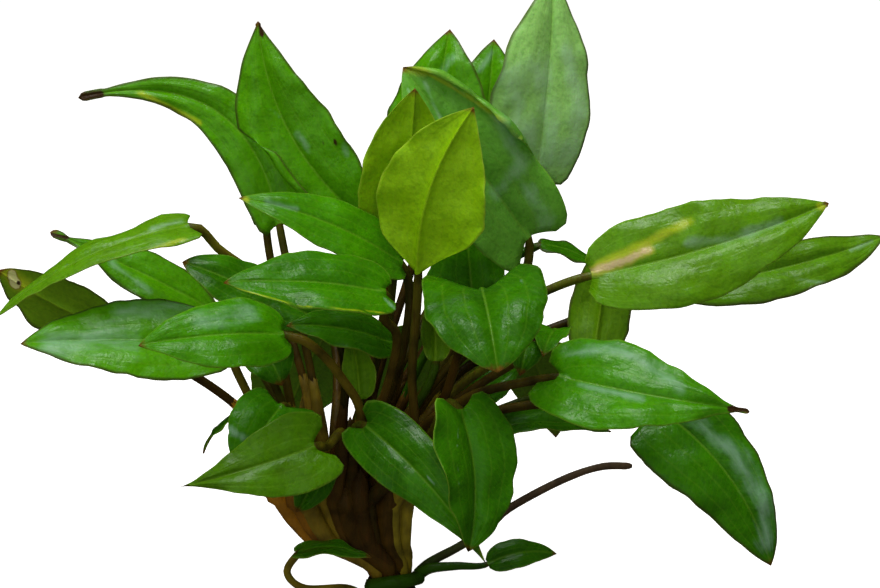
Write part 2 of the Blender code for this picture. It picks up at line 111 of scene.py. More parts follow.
def new_surface(name, **inputs):
    """A new material, what adds its nodes, and its shader with these inputs, named with _ for a space."""
    material = bpy.data.materials.new(name)
    material.use_nodes = True
    shader = material.node_tree.nodes["Principled BSDF"]
    plug(shader, {key.replace("_", " "): value for key, value in inputs.items()})
    return material, partial(add_node, material.node_tree), shader


def add_lamp(name, place, size, radiance, lights, mirrored):
    """A square softbox that looks at the plant, and lights it or shows in its gloss."""
    data = bpy.data.lights.new(name, "AREA")
    data.size = size
    data.energy = radiance * math.pi * size**2
    lamp = add_object(name, data, place)
    lamp.rotation_euler = (LIT_PLACE - Vector(place)).to_track_quat("-Z", "Y").to_euler()
    lamp.visible_diffuse, lamp.visible_glossy = lights, mirrored


def add_stage(name, build, material):
    """A piece of the studio, which no light from the plant or to it meets."""
    mesh = bpy.data.meshes.new(name)
    shape = bmesh.new()
    build(shape)
    shape.to_mesh(mesh)
    shape.free()
    mesh.materials.append(material)
    piece = add_object(name, mesh)
    piece.visible_diffuse = piece.visible_glossy = piece.visible_transmission = False
    return piece


paper, _, _ = new_surface(
    "matt_white_table", Base_Color=srgb("f6f6f4"), Roughness=0.9, Specular_IOR_Level=0.0,
    Emission_Color=srgb("ffffff"), Emission_Strength=0.85,
)
dome_paint, _, _ = new_surface(
    "pale_dome", Base_Color=srgb("000000"), Roughness=1.0, Specular_IOR_Level=0.0,
    Emission_Color=srgb("ffffff"), Emission_Strength=1.0,
)
add_stage("table", lambda shape: bmesh.ops.create_circle(
    shape, cap_ends=True, radius=FLOOR_RADIUS, segments=96), paper)
dome = add_stage("dome", lambda shape: bmesh.ops.create_icosphere(
    shape, subdivisions=4, radius=FLOOR_RADIUS * 0.99), dome_paint)
dome.visible_shadow = False
add_lamp("overhead_softbox", (-0.12, -0.12, 0.95), size=0.7, radiance=4.8, lights=True, mirrored=False)
add_lamp("glint_softbox", (-0.05, -0.17, 0.95), size=0.3, radiance=6.5, lights=False, mirrored=True)
add_lamp("front_softbox", (-0.4, -1.6, 0.75), size=1.4, radiance=1.3, lights=True, mirrored=False)
scene.world = bpy.data.worlds.new("room")
scene.world.use_nodes = True
plug(scene.world.node_tree.nodes["Background"], {"Color": srgb("fff6e0"), "Strength": 0.17})
scene.world.cycles_visibility.glossy = False
scene.view_settings.view_transform = "Standard"

# The leaves
# Each leaf is one grown piece: a thin blade with a midrib, on a fleshy stalk that stands in the rootstock.
# The blades are heart-based to lance-shaped, glossy above and paler below, and they fan out to every side.

# The rootstock that the stalks stand in: heights, and the middle, half-width and half-depth at each.
CROWN_LEVELS = (
    (0, 0.4, 6.7, 8.2), (4, 0.5, 7, 8.6), (8, 0.5, 6.1, 8.4), (12, 0.2, 5.2, 8.2), (16, -0.9, 5.9, 8.6),
    (19, -4.2, 8.8, 9.6), (22.5, -8.5, 13.4, 11.4), (28, -10.8, 16.1, 13), (34, -12.4, 18.6, 13.8),
)
FOOT_GAP = 0.3
FOOT_INSET = 1.8
FOOT_SPREAD = 1.3
STALK_POINTS = 36
STALK_CLEARANCE = 0.55
BLADE_CLEARANCE = 1.0
CROWD_STEPS = 90
LOBE_AT = 0.06
CAMBER = 0.1
NECK = 1.35


@dataclass
class Leaf:
    """One leaf. Its places are as seen from the front: right of and above the view's centre, and behind.

    face is where the upper side looks: right, up and near. arch bows the midrib to the upper side and sway
    sideways, fold raises the margins and lobe is how far the lobes reach back. The stalk runs along path, and
    stalk_tone is the tone that it has kept or turned to, and how much of it.
    """

    name: str
    base: tuple
    tip: tuple
    width: float
    face: tuple
    tone: str = "fresh"
    arch: float = 2
    sway: float = 0
    fold: float = 0.16
    lobe: float = 3
    wave: float = 0.4
    widest: float = 0.34
    taper: float = 0.85
    bend: float = 0.4
    uneven: float = 0
    stalk: float = 1.15
    foot: tuple = ()
    path: tuple = ()
    fine: bool = True
    stalk_tone: tuple = ("straw", 0)


LEAVES = (
    # The tall leaves in the middle.
    Leaf("front_tall", (-5.5, 4.75, -20), (8.5, 46.75, -26), 28, (0.35, 0, -1), "young", arch=-3, lobe=-3,
         bend=0.1, widest=0.4, taper=0.9, sway=3, uneven=-0.08, path=((-7.25, -38, -14), (-7, -19, -17))),
    Leaf("front_tall_left", (-11, 9, -5), (-6.25, 51.5, -15), 22.5, (-0.3, 0, -1), "young", arch=-2, lobe=0,
         bend=0.2, widest=0.46, uneven=0.08),
    Leaf("back_tall", (24.25, 30.5, 24), (28.25, 79, 32), 26.5, (0.25, 0, 1), "grey_green_sheen", lobe=5, arch=3,
         wave=0.8, uneven=-0.12),
    Leaf("back_left", (-3, 24, 24), (2.5, 66.25, 34), 28.5, (-0.3, 0.1, 1), lobe=2, uneven=0.08),
    Leaf("back_middle", (10, 24, 34), (13.5, 63.75, 44), 25, (0, 0.2, 1), lobe=2),
    Leaf("curled", (22.25, 13.75, 6), (-9.25, 56.75, 5), 27.5, (0.1, 0.45, 0.9), "cool", arch=4, lobe=5,
         fold=0.3, wave=0.9, taper=0.6, sway=-1),
    # The left side, from the top down.
    Leaf("left_tall", (-17, 17, 10), (-45.5, 68.25, 18), 24.5, (-0.1, 0.2, 1), sway=-6.5, lobe=1, widest=0.42,
         taper=1, uneven=-0.06),
    Leaf("left_long", (-40, 16.5, 20), (-90.5, 49, 26), 16, (-0.2, 0.5, 0.9), arch=0, sway=16.5, lobe=4,
         widest=0.24, taper=1.15),
    Leaf("left_hidden", (-43.5, 17.5, 30), (-42, 42, 38), 10, (0, 0.2, 1), lobe=2, fine=False),
    Leaf("left_upper", (-9.5, 7.5, -14), (-50.5, 24, -22), 16, (-0.1, 0.75, 0.65), "full", arch=4,
         path=((-9, -12, -13),)),
    Leaf("left_middle", (-13.5, 0.25, -33), (-54.25, 2.75, -44), 20, (0, 0.8, 0.6), "deep", lobe=3.5,
         path=((-11, -14.5, -23), (-14, -6, -29))),
    Leaf("left_arching", (-62.25, 17, -2), (-112, -6.5, -14), 14.5, (0.1, 1, 0.25), "olive", arch=4.4,
         fold=0.1, bend=0.1, widest=0.16, path=((-43, 1.25, 4), (-48, 6, 2), (-55, 11, 0)),
         stalk_tone=("straw", 0.3)),
    Leaf("left_narrow", (-57, -4, 14), (-97.5, 15.5, 12), 15, (0.1, 0.7, 0.6), arch=1, taper=1.7,
         widest=0.36),
    Leaf("far_left", (-84, -8, 4), (-110.5, 6, 2), 19, (0.2, 0.4, -1), "mellow", arch=0, lobe=2, sway=1,
         taper=0.6, uneven=0.12),
    Leaf("left_big", (-54.5, -13, -6), (-105, -12.5, -18), 24.5, (0, 0.75, 0.65), lobe=2.5, bend=0.2,
         taper=0.75, path=((-50, -21, -6),), stalk_tone=("straw", 0.6)),
    Leaf("left_front", (-39, -10.25, -30), (-75.5, -13, -42), 20, (0, 0.7, 0.7), "full", lobe=2, bend=0.3,
         path=((-20, -32, -20), (-25, -20.5, -26), (-32.5, -12.5, -30)), stalk_tone=("straw", 0.5)),
    Leaf("left_back", (-27.5, -8, -6), (-64.5, 8, -8), 17, (0.1, 0.75, 0.6), "dark", arch=1, widest=0.5,
         taper=0.5),
    Leaf("left_under", (-11.5, -12.75, -6), (-38.5, -8, -16), 16, (0, 0.85, 0.5), "dark", lobe=1),
    Leaf("left_small", (-44.5, -13.5, -8), (-39.5, -23, -14), 13, (0.1, 0.6, 0.8), "dark", lobe=2,
         fine=False),
    Leaf("left_sliver", (-49, -29, -8), (-59.25, -40, -12), 7, (-0.75, 0.66, 0.1), "dark", lobe=1, fine=False,
         stalk_tone=("dark", 0.8)),
    Leaf("low_left_round", (-39.5, -28, -18), (-50.5, -45, -34), 19.5, (-0.1, 0.5, 0.85), "deep", lobe=3.5,
         widest=0.28, taper=0.7),
    Leaf("low_left_front", (-31.25, -38, -38), (-65.25, -48.25, -44), 19.5, (0.2, 0.5, 0.9), "moss", lobe=6,
         widest=0.22, taper=1.6, sway=-1, uneven=-0.04, path=((-24, -35, -24), (-28, -38, -31)),
         stalk_tone=("straw", 0.5)),
    Leaf("low_left_under", (-30, -41, -20), (-36, -54.5, -26), 11, (0.3, 0.1, 1), "dark", lobe=1, fine=False),
    # The front.
    Leaf("front_low", (-18.5, -33, -34), (12, -68.25, -52), 16.5, (-0.3, 0.5, 0.8), "dark", lobe=6, arch=4,
         fold=0.2, widest=0.25, taper=1.5, sway=-2.4),
    Leaf("front_folded", (4.75, -28.75, -46), (7, -64.5, -58), 24, (0.75, 0.2, 1), "deep", lobe=4.5, fold=0.5,
         uneven=0.15, sway=-1.5, taper=0.7, path=((-3, -36, -26),)),
    Leaf("heart", (10.5, 1, -34), (14.5, -19.75, -54), 29.5, (0, 0.6, 0.8), "dark", lobe=11, arch=3, bend=0.9,
         widest=0.3, taper=0.6, path=((0, -28, -10),)),
    # The right side.
    Leaf("right_big", (37.25, 4.5, -8), (97.25, 22.75, -4), 26.5, (-0.1, 0.5, 0.85), "mellow", lobe=2, arch=1,
         sway=2.4, bend=0.1, widest=0.36, taper=0.8, uneven=0.02),
    Leaf("right_back", (58, 1.75, 14), (111.25, 14.5, 24), 15.5, (0.1, 0.6, 0.75), "olive", sway=3,
         uneven=0.1, widest=0.46, taper=0.7),
    Leaf("right_edge", (25, 12.25, 16), (41, 5, 20), 9, (0.2, 0.9, 0.3), "deep", lobe=1, fine=False,
         stalk_tone=("deep", 0.8)),
    Leaf("right_upright", (38.5, -14.5, 0), (43, 15.5, 8), 16, (0.1, 0.2, -1), "deep", lobe=2,
         stalk_tone=("deep", 0.5)),
    Leaf("right_front", (29.5, -20.75, -34), (77.5, -29.5, -46), 25.75, (0.1, 0.7, 0.7), "full", lobe=7,
         arch=3, sway=2.5, widest=0.28, taper=1.5, uneven=-0.02,
         path=((-5, -34, -20), (6, -26.5, -28), (13, -23.75, -31))),
    Leaf("right_hanging", (53.5, -28, -22), (82.75, -68, -34), 24.8, (0.35, 0.3, 1), "deep", arch=4, bend=0.5,
         lobe=0.5, sway=-3.3, uneven=0.13, widest=0.2, taper=0.6),
    Leaf("small_cupped", (29, -9.5, -12), (25.75, -15.75, -30), 9, (0, 0.9, 0.4), "deep", fold=0.4, lobe=1,
         fine=False),
    Leaf("right_low", (13, -33.75, 4), (43, -34.5, 14), 13, (0, 0.95, 0.3), "dark", fold=0.3, fine=False),
    # Low growth by the crown.
    Leaf("low_right", (11.75, -67.6, -4), (29.25, -65, 0), 8, (0, 0.6, 0.8), "dark", lobe=0, stalk=0.75,
         sway=-1, fine=False, foot=(7, -3, 12.3), path=((-2.5, -68.6, -5), (4, -68, -5)),
         stalk_tone=("dark", 1)),
    Leaf("low_left", (-35, -64.5, -18.5), (-17, -66, -19), 7.5, (0, 0.95, 0.2), "dark", stalk=0.95,
         fine=False, foot=(-6.3, -4.4, 7.5), path=((-24, -73.5, -9), (-34, -73.5, -14), (-38.25, -69.5, -17)),
         stalk_tone=("straw", 0.9)),
    # Young leaves inside the clump.
    Leaf("inner_back", (8.25, -2, 8), (6.5, 16.5, 14), 20, (0, 0.3, 1), "deep", uneven=-0.1),
    Leaf("inner_left", (-20, -26.5, -10), (-22.5, -10.5, -12), 9, (0.3, 0, -1), "full", lobe=0, fine=False,
         stalk_tone=("full", 0.7)),
    Leaf("inner_right", (-1, -17, -4), (-2.5, -1.5, -6), 8, (0.3, 0, -1), "deep", lobe=0, fine=False,
         stalk_tone=("deep", 0.7)),
    Leaf("inner_low", (8, -26, 4), (20, -18, 8), 11, (0, 0.6, 0.8), "dark", lobe=2, fine=False),
    Leaf("inner_tip", (22, -12, -20), (20, -20.5, -28), 9, (0, 0.5, 0.9), "dark", lobe=1, fine=False),
    # The far side.
    Leaf("far_middle", (2, 8, 48), (6, 22, 88), 24, (0, 1, 0.3), "deep", arch=4),
    Leaf("far_right", (44, 0, 34), (60, 8, 76), 22, (0.1, 1, 0.2), "deep", arch=4, fine=False),
    Leaf("far_left_low", (-28, -9, 38), (-41, -40, 60), 30, (-0.2, 0.7, -1), "deep", arch=4, fine=False),
    Leaf("far_right_low", (21.5, -13, 30), (29, -36, 54), 24, (0.2, 0.7, -1), "dark", arch=4, fine=False),
    Leaf("far_low", (-1, -10, 34), (-13, -42, 54), 30, (0, 0.7, -1), "deep", arch=4, fine=False),
)

# Young leaves are yellow-green and old ones dark. The pale grey-green tone is painted sheen, lightened as
# well for the little light that an upright leaf gets.
TONES = {
    "young": "8cc400", "fresh": "4e9600", "full": "3c8200", "deep": "2c6a00", "dark": "1e5000",
    "moss": "4a7404", "olive": "5a8a0c", "mellow": "5c8c08", "grey_green_sheen": "9ad272", "cool": "68ac3a",
    "straw": "8c7c1c",
}

# Leaves at the back, whose margins have darkened to purple-brown.
DARK_MARGINS = (
    "back_tall", "back_left", "back_middle", "left_tall", "left_long", "left_narrow", "left_hidden",
    "far_left", "left_big", "right_hanging", "right_back", "right_edge", "right_upright",
)
DARK_MARGIN_SHARE = 0.65

# Margins that roll in over the upper side: side, first and last share along, first share across, radius.
ROLLS = {"curled": (1, 0.3, 1, 0.86, 1.7), "left_tall": (-1, 0, 0.62, 0.42, 1.6)}
ROLL_TURN = 3.6

# Marks on the blades, as seen from the front: kind, how far it reaches and the places that it passes.
# The pale grey-green kind is painted sheen: painted highlights, glints and reflections of the lamps.
STAIN, DRY, PAINTED_SHEEN, BROWNING_AND_SHADE, YELLOW = range(5)
MARKS = {
    "back_tall": (
        (PAINTED_SHEEN, 10, (18, 55), (20, 43.2), (26.2, 33)), (PAINTED_SHEEN, 7, (32, 60), (35, 45.8), (31.2, 32)),
        (PAINTED_SHEEN, 8, (25, 57), (28, 33.2)),
    ),
    "back_left": ((PAINTED_SHEEN, 3.2, (3, 58.8), (-2, 52), (-9.5, 43.2)),),
    "back_middle": ((PAINTED_SHEEN, 2.2, (13, 60.2), (10, 55.8)),),
    "curled": (
        (PAINTED_SHEEN, 1.5, (-3.8, 52.8), (0.5, 42.8)), (PAINTED_SHEEN, 1, (-8, 51.2), (-3, 41.2)),
        (PAINTED_SHEEN, 5.5, (15.5, 43.2), (20.5, 33.2), (15, 25.8)), (PAINTED_SHEEN, 5, (22, 25.8), (27, 17.8)),
        (YELLOW, 2, (-9.2, 56.8), (-4, 55.4)), (YELLOW, 0.8, (-3, 55), (3, 51.8), (9, 48), (15, 43)),
    ),
    "left_tall": (
        (PAINTED_SHEEN, 2.2, (-42.2, 46.2), (-40.2, 44.2)), (PAINTED_SHEEN, 2.6, (-35.5, 40), (-33, 36.8)),
        (PAINTED_SHEEN, 2, (-24, 36.8), (-23.5, 35)), (BROWNING_AND_SHADE, 0.4, (-29, 37.5), (-25.8, 38)),
        (BROWNING_AND_SHADE, 1, (-44.8, 67.2), (-44.5, 64.8)),
    ),
    "left_long": ((BROWNING_AND_SHADE, 1.8, (-90.5, 49), (-85, 50)), (YELLOW, 1.2, (-75, 50.2), (-60, 42.8))),
    # This dark brown wedge is painted shadow, in the gap under left_tall's rolled margin.
    "left_hidden": ((BROWNING_AND_SHADE, 3.2, (-38, 32.5), (-33.5, 28)),),
    "left_upper": ((YELLOW, 1.5, (-50.5, 24.2), (-48.5, 23.5)), (PAINTED_SHEEN, 2.4, (-43, 22.8), (-36, 21.2))),
    "left_arching": (
        (PAINTED_SHEEN, 2, (-64, 18.2), (-72, 16)), (YELLOW, 1, (-63.8, 13.8), (-77.5, 8.8), (-95, 1.2)),
    ),
    "left_narrow": ((BROWNING_AND_SHADE, 0.8, (-97, 14.8), (-93.2, 14)), (PAINTED_SHEEN, 2.5, (-82, 7.8), (-72.5, 0.2))),
    "far_left": (
        (DRY, 2, (-107, 5), (-106, 2.5)), (YELLOW, 3.6, (-108, 5.8), (-103.5, 1.5)),
        (BROWNING_AND_SHADE, 0.7, (-105.4, 3), (-105.2, 2.8)),
    ),
    "left_big": ((PAINTED_SHEEN, 9.5, (-97, -13.2), (-78, -10.5)), (PAINTED_SHEEN, 6, (-80, -4.8), (-60, -3))),
    "left_front": ((PAINTED_SHEEN, 5.5, (-59.5, -6.8), (-47, -4.8)), (BROWNING_AND_SHADE, 0.8, (-39, -9.5), (-38.5, -10))),
    "left_middle": ((YELLOW, 0.25, (-54, 2.2), (-35, -3), (-11.2, -5)), (PAINTED_SHEEN, 1.2, (-14, -1.2), (-11, -4))),
    "right_big": (
        (STAIN, 2.2, (38.5, 5.8), (47, 8.6), (52, 11.2)), (YELLOW, 2, (40, 7.5), (52, 13), (62, 18)),
        (PAINTED_SHEEN, 3.2, (62, 12.5), (72, 14), (85, 17.8)), (PAINTED_SHEEN, 0.8, (40.2, 11.5), (40.5, 11.2)),
        (YELLOW, 1.5, (95, 22), (96.5, 21.2)),
    ),
    "right_back": ((PAINTED_SHEEN, 1.5, (89.5, 3.6), (96.8, 2.6)), (PAINTED_SHEEN, 1.2, (102.5, 10.8), (108, 13.2))),
    "right_front": (
        (PAINTED_SHEEN, 4.2, (32, -14.8), (45, -13.8), (53.8, -18.8), (60.5, -24)),
        (PAINTED_SHEEN, 2.2, (35, -22.8), (45, -25), (50.5, -26.4)), (BROWNING_AND_SHADE, 1.5, (72.5, -28.8), (77.5, -28.8)),
    ),
    "right_hanging": ((PAINTED_SHEEN, 6.5, (64.5, -32.8), (73.5, -39.5), (80.5, -52), (81.5, -63)),),
    "heart": ((PAINTED_SHEEN, 1, (20.2, 3.5), (21, 2.8)), (YELLOW, 1, (14.5, -20.2), (15, -18.8))),
    "front_folded": (
        (PAINTED_SHEEN, 0.2, (4.5, -32.5), (4.2, -39.2), (4.8, -50.5)), (BROWNING_AND_SHADE, 0.8, (6.8, -64.5), (7, -64)),
    ),
    "front_low": (
        (PAINTED_SHEEN, 0.6, (-3.2, -45.5), (-1, -48)), (YELLOW, 1.2, (10.5, -63.8), (11.5, -66.8)),
        (BROWNING_AND_SHADE, 1, (11.5, -66.8), (12, -68.8)),
    ),
    "low_left_round": ((PAINTED_SHEEN, 2.5, (-52.5, -33.8), (-45.5, -38.2)),),
    "low_left_front": ((BROWNING_AND_SHADE, 0.8, (-58.5, -48.8), (-58.2, -49)), (BROWNING_AND_SHADE, 1, (-64.8, -48.5), (-63, -48.2))),
}

# Tips that are blunt: how far back the finger reaches, and its half-width.
BLUNT_TIPS = {
    "left_long": (8, 1.25), "left_narrow": (6, 1.3), "right_front": (5, 0.75), "back_tall": (3, 1.4),
    "right_big": (3, 1.1), "left_tall": (3, 0.9),
}

BLADE_ROWS = 46
FIRST_ROW = 0.012
LAST_ROW = 0.999
BLADE_COLUMNS = 16
BLADE_HALF_THICKNESS = 0.16
MARGIN_HALF_THICKNESS = 0.07
VEIN_SPACING = 0.34
QUILT_HEIGHT = 0.06
PUFF_HEIGHT = 0.8
PUCKER_HEIGHT = 1.25
PUCKER_SIZE = 13.0
FRILL_HEIGHT = 1.1
OUTLINE_UNEVENNESS = 0.06
STALK_SIDES_DEG = (150, 120, 90, 60, 30, -30, -60, -90, -120, -150)


def seen(right, up, behind):
    """The point seen that far right of and above the view's centre, and behind the crown's axis."""
    ray = VIEW_DISTANCE * sight + up * upward
    ray[0] += right
    return eye + ray * (behind - eye[1]) / ray[1]


def unit(v):
    """The vectors v at length 1."""
    return v / np.linalg.norm(v, axis=-1, keepdims=True)


def bezier(points, s):
    """Points and directions of the cubic curve with these four controls, at the shares s."""
    p0, p1, p2, p3 = points
    s = np.asarray(s, float)[:, None]
    place = (1 - s) ** 3 * p0 + 3 * (1 - s) ** 2 * s * p1 + 3 * (1 - s) * s**2 * p2 + s**3 * p3
    slope = 3 * (1 - s) ** 2 * (p1 - p0) + 6 * (1 - s) * s * (p2 - p1) + 3 * s**2 * (p3 - p2)
    return place, unit(slope)


def through(stops, arrive):
    """Evenly spaced points of a smooth curve through these stops that ends in the direction arrive."""
    stops = np.array(stops)
    pull = np.zeros_like(stops)
    pull[1:-1] = (stops[2:] - stops[:-2]) / 2
    pull[0] = stops[1] - stops[0]
    pull[-1] = arrive * np.linalg.norm(stops[-1] - stops[-2])
    s = np.linspace(0, 1, 12, endpoint=False)
    spans = [
        bezier((stops[i], stops[i] + pull[i] / 3, stops[i + 1] - pull[i + 1] / 3, stops[i + 1]), s)[0]
        for i in range(len(stops) - 1)
    ]
    dense = np.concatenate(spans + [stops[-1:]])
    run = np.concatenate(([0], np.cumsum(np.linalg.norm(np.diff(dense, axis=0), axis=1))))
    return spread(dense, run, STALK_POINTS)


def spread(line, run, count):
    """The line as that many points, evenly spread over the run from its first point to its last."""
    at = np.linspace(0, run[-1], count)
    return np.column_stack([np.interp(at, run, line[:, k]) for k in range(3)])


def midrib(leaf, s):
    """Points, forward, upper-side and sideways directions along a blade's midrib."""
    base, tip = seen(*leaf.base), seen(*leaf.tip)
    right, up, near = leaf.face
    face = np.array((right, -near, up), float)
    chord = tip - base
    along = unit(chord)
    upper = unit(face - face.dot(along) * along)
    side = np.cross(along, upper)
    bow = 4 / 3 * (leaf.arch * upper + leaf.sway * side)
    place, forward = bezier((base, base + chord / 3 + bow, base + chord * 2 / 3 + bow, tip), s)
    upper = unit(upper - (forward @ upper)[:, None] * forward)
    return place, forward, upper, np.cross(forward, upper)


def half_width(leaf, s, narrowing=1):
    """The blade's half-width at the shares s of its length, from the stalk's width to 0 at the tip."""
    rise = leaf.taper * leaf.widest / (1 - leaf.widest)
    peak = leaf.widest**rise * (1 - leaf.widest) ** leaf.taper
    half = leaf.width / 2 * s**rise * (1 - s) ** leaf.taper / peak * narrowing
    return np.where(s < 0.2, np.maximum(half, NECK * leaf.stalk), half)


def blade_surface(leaf, s, t, half):
    """Middle surface of a blade and its upper-side direction, at shares s along and t across, -1 to 1."""
    place, forward, upper, side = midrib(leaf, s)
    swing = np.sqrt(s / LOBE_AT) * np.exp((1 - s / LOBE_AT) / 2)
    back = leaf.lobe * swing[:, None] * np.abs(t) ** 1.6
    out = half[:, None] * t * (1 + leaf.uneven * np.sign(t))
    share = np.abs(out) / (leaf.width / 2)
    ripple = np.sin(2 * math.pi * (2.6 * s[:, None] + 0.2 * np.sign(t)) + len("leaf_" + leaf.name))
    lift = leaf.width / 2 * (leaf.fold * share - CAMBER * share**2)
    lift += leaf.wave * ripple * np.abs(t) ** 3 * share
    if leaf.name in ROLLS:
        out, lift = rolled(leaf, s, t, out, lift)
    surface = (
        place[:, None]
        - forward[:, None] * back[..., None]
        + side[:, None] * out[..., None]
        + upper[:, None] * lift[..., None]
    )
    return surface, upper


def rolled(leaf, s, t, out, lift):
    """The blade's places across and up, with one margin rolled in over the upper side."""
    way, first, last, start, radius = ROLLS[leaf.name]
    fade = np.clip((s - first) / 0.15 + (first == 0), 0, 1) * np.clip((last - s) / 0.15 + (last == 1), 0, 1)
    half = np.abs(out[:, -1 if way > 0 else 0])[:, None]
    radius = np.minimum(radius, 0.3 * half)
    beyond = np.maximum(way * t - start, 0)
    angle = beyond / (1 - start) * ROLL_TURN
    inside = (beyond > 0) * fade[:, None]
    curl = way * (start * half + radius * np.sin(angle))
    return out + inside * (curl - out), lift + inside * radius * (1 - np.cos(angle))


def stalk_curve(leaf, foot):
    """Points of a stalk's middle line from its foot to the blade, before crowding moves it."""
    place, forward, _, _ = midrib(leaf, (0.0,))
    base, ahead = place[0], forward[0]
    reach = np.linalg.norm(base - foot)
    arrive = unit((1 - leaf.bend) * ahead + leaf.bend * unit(base - foot))
    if leaf.path:
        return through((foot, *(seen(*place) for place in leaf.path), base), arrive)
    rise = np.array((0.0, 0.0, 0.35 * reach))
    controls = (foot, foot + rise, base - arrive * reach * 0.3, base)
    return bezier(controls, np.linspace(0, 1, STALK_POINTS))[0]


def stalk_feet(leaves):
    """Where each stalk stands on the crown: the more a leaf leans out, the nearer its foot is to the rim."""
    height, centre, half_x, half_y = CROWN_LEVELS[-1]
    middle = np.array((centre, 0.0, height + FOOT_GAP))
    bases = np.array([seen(*leaf.base) for leaf in leaves])
    lean = np.hypot(*(bases - middle)[:, :2].T) / (bases[:, 2] - height)
    order = np.argsort(np.argsort(lean))
    ring = np.sqrt((order + 0.5) / len(leaves))
    heading = np.arctan2(bases[:, 1], bases[:, 0] - centre)
    feet = np.tile(middle, (len(leaves), 1))
    feet[:, 0] += (half_x - FOOT_INSET) * ring * np.cos(heading)
    feet[:, 1] += (half_y - FOOT_INSET) * ring * np.sin(heading)
    return np.array([leaf.foot or foot for leaf, foot in zip(leaves, feet)])


def crowd(leaves, lines, radii):
    """The stalks' middle lines, moved clear of each other and of the blades in small, smooth steps."""
    count, points = radii.shape
    s = np.linspace(0.04, 0.95, 12)
    t = np.tile(np.linspace(-1, 1, 7), (len(s), 1))
    blades = [blade_surface(leaf, s, t, half_width(leaf, s))[0].reshape(-1, 3) for leaf in leaves]
    per_blade = len(blades[0])
    owner = np.concatenate((np.repeat(np.arange(count), points), np.repeat(np.arange(count), per_blade)))
    reach = np.concatenate((radii.reshape(-1), np.full(count * per_blade, BLADE_CLEARANCE)))
    fixed = np.concatenate(blades)
    free = np.ones((count, points, 1))
    free[:, -3:] = 0
    free[[leaf.foot != () for leaf in leaves], 0] = 0
    shift = np.zeros_like(lines)
    widest = 2 * radii.max() + STALK_CLEARANCE
    for _ in range(CROWD_STEPS):
        place = np.concatenate(((lines + shift).reshape(-1, 3), fixed))
        tree = KDTree(len(place))
        for i, point in enumerate(place):
            tree.insert(point, i)
        tree.balance()
        step = np.zeros((count * points, 3))
        for i in range(count * points):
            for _, j, distance in tree.find_range(place[i], widest):
                need = reach[i] + reach[j] + STALK_CLEARANCE
                if owner[i] != owner[j] and distance < need:
                    step[i] += (place[i] - place[j]) * (need / (distance + 1e-6) - 1) * 0.35
        shift += np.clip(step.reshape(lines.shape), -0.6, 0.6) * free
        eased = shift[:, :-2] + shift[:, 2:] - 2 * shift[:, 1:-1]
        shift[:, 1:-1] += 0.2 * eased * free[:, 1:-1]
        shift[:, 0, 2] = 0
    return lines + shift


def tube_rings(line, radii, upper_end, angles_deg, flat=1.0):
    """A ring of points round each point of a line. flat is how thick a ring is for its width."""
    forward = unit(np.gradient(line, axis=0))
    upper = np.zeros_like(line)
    upper[-1] = unit(upper_end - upper_end.dot(forward[-1]) * forward[-1])
    for i in range(len(line) - 2, -1, -1):
        upper[i] = unit(upper[i + 1] - upper[i + 1].dot(forward[i]) * forward[i])
    side = np.cross(forward, upper)
    angles = np.radians(angles_deg)
    radii = np.reshape(radii, (len(line), -1))
    return (
        line[:, None]
        + side[:, None] * (np.cos(angles) * radii)[..., None]
        + upper[:, None] * (np.sin(angles) * radii * np.reshape(flat, (-1, 1)))[..., None]
    )


def pucker(place, size, seed):
    """Smooth unevenness between -1 and 1 at each place."""
    flat = np.asarray(place).reshape(-1, 3) / size + seed * 7.3
    return np.array([noise.noise(Vector(p)) for p in flat]).reshape(np.shape(place)[:-1])


def tip_narrowing(leaf, s):
    """Draws the outline in to a sharp point over the last of the blade."""
    reach = 0.05
    sharpness = max(0.0, 1.15 - leaf.taper)
    return ((1 - s) / (1 - s + reach)) ** sharpness * (1 + reach) ** sharpness


def seen_from_front(points):
    """How far right of and above the view's centre the points are seen."""
    away = points - eye
    return np.stack((away[..., 0], away @ upward), axis=-1) * (VIEW_DISTANCE / (away @ sight))[..., None]


def near_path(places, path, reach):
    """1 on a path of seen places, falling to 0 at reach from it."""
    path = np.array(path, float)
    nearest = np.full(places.shape[:-1], np.inf)
    for a, b in zip(path, path[1:]):
        share = np.clip((places - a) @ (b - a) / ((b - a) @ (b - a)), 0, 1)
        nearest = np.minimum(nearest, np.linalg.norm(places - a - share[..., None] * (b - a), axis=-1))
    return np.clip(1 - nearest / reach, 0, 1)


class Skin:
    """Gathers the vertices, faces and surface measures of one piece."""

    def __init__(self):
        self.points, self.faces, self.slots = [], [], []
        self.measures = {"blade": [], "rim": [], "marks": [], "tints": [], "tone": []}

    def add(self, points, blade, rim, marks=(0, 0, 0), tints=(0, 0, 0), tone=(0.2, 0.2, 0.1)):
        """Numbers of new vertices at these points with their measures."""
        first = len(self.points)
        points = np.asarray(points).reshape(-1, 3)
        self.points.extend(points)
        for key, values in zip(self.measures, (blade, rim, marks, tints, tone)):
            self.measures[key].extend(np.broadcast_to(values, points.shape))
        return list(range(first, len(self.points)))

    def face(self, corners, slot):
        """One face in a material slot."""
        self.faces.append(tuple(corners))
        self.slots.append(slot)

    def tube(self, loops, slot, closed=True):
        """Faces between each ring of vertices and the next, and over the open ends."""
        for first, second in zip(loops, loops[1:]):
            for i in range(len(first)):
                j = (i + 1) % len(first)
                self.face((first[i], first[j], second[j], second[i]), slot)
        self.face(loops[0][::-1], slot)
        if closed:
            self.face(loops[-1], slot)

    def build(self, name, materials):
        """The finished object."""
        mesh = bpy.data.meshes.new(name)
        mesh.from_pydata([Vector(p) * MM for p in self.points], [], self.faces)
        for material in materials:
            mesh.materials.append(material)
        mesh.polygons.foreach_set("material_index", self.slots)
        for key, values in self.measures.items():
            attribute = mesh.attributes.new(key, "FLOAT_VECTOR", "POINT")
            attribute.data.foreach_set("vector", np.asarray(values, np.float32).reshape(-1))
        mesh.shade_smooth()
        return add_object(name, mesh)


UPPER, UNDER, STALK = range(3)


